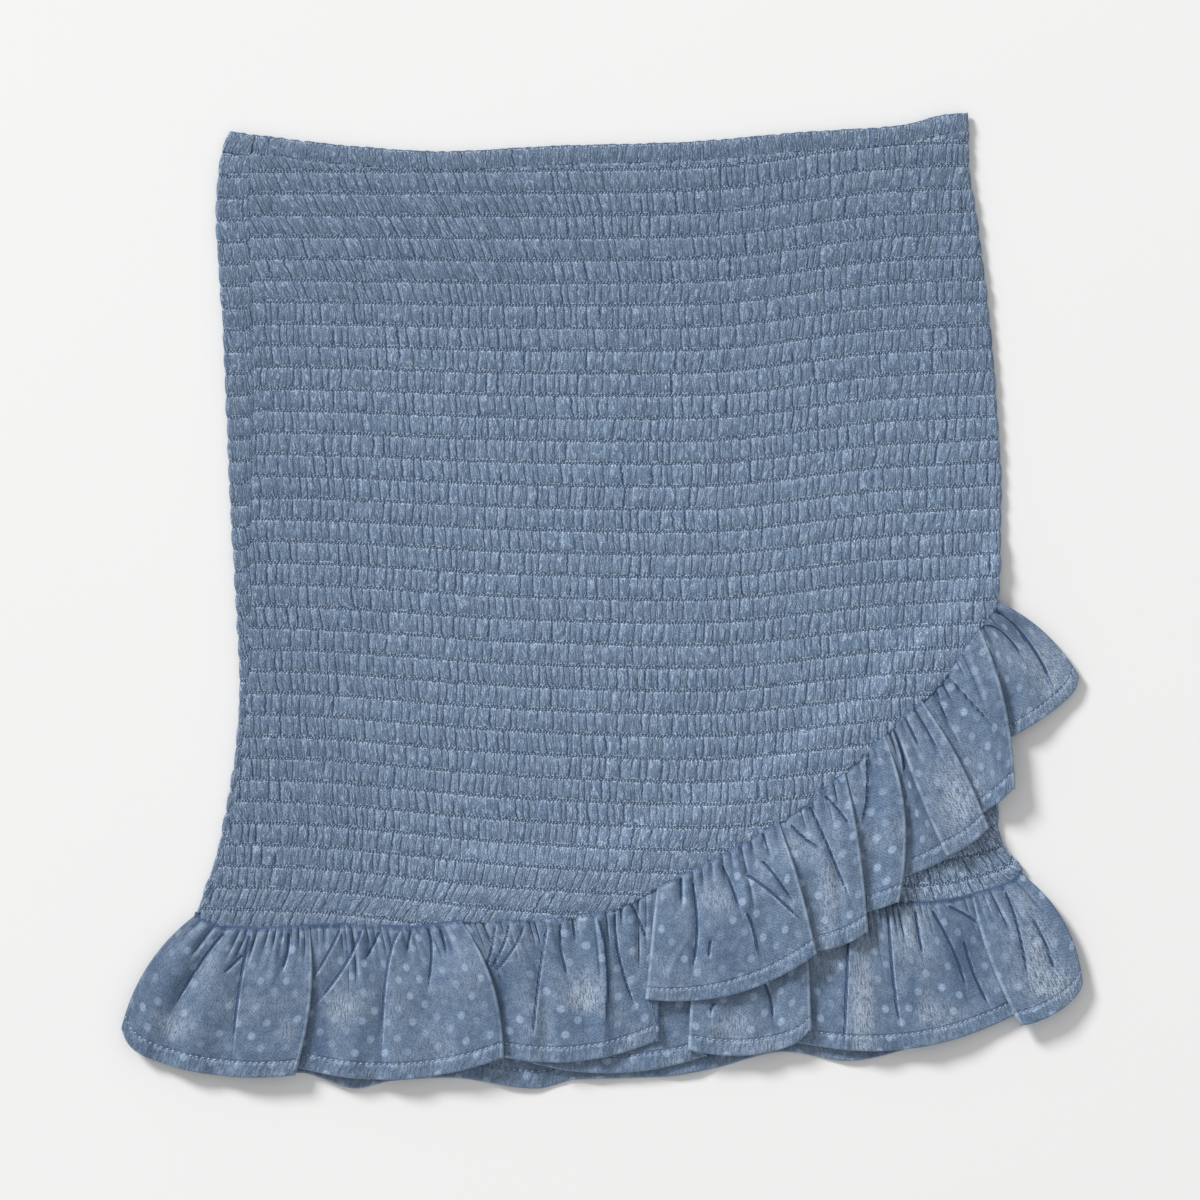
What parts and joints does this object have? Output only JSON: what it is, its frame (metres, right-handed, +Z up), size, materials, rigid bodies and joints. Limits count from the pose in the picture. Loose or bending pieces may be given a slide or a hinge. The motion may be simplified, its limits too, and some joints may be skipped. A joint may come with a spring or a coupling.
{
  "type": "ruffled mini skirt",
  "caption": "Shirred pull-on mini skirt laid flat, with a wrap-style front whose gathered ruffle sweeps up to one side over an underlap and a back ruffle.",
  "frame": {"origin": "under the middle of the laid skirt's box, on the surface that it lies on", "axes": "+Z up, out of the front of the skirt; +Y from hem to waist; +X to the viewer's right, the side that the overlap's ruffle sweeps up to"},
  "size_m": [0.4228, 0.4288, 0.0121],
  "materials": {
    "shirred_satin": "dusty blue satin, shirred on rows of elastic thread",
    "dotted_satin": "dusty blue satin with small tone-on-tone dots"
  },
  "bodies": {
    "root": {"back_panel": "shirred_satin", "front_underlap_panel": "shirred_satin", "front_overlap_panel": "shirred_satin", "waist_casing": "shirred_satin", "back_ruffle": "dotted_satin", "underlap_ruffle": "dotted_satin", "overlap_ruffle": "dotted_satin"}
  },
  "joints": []
}
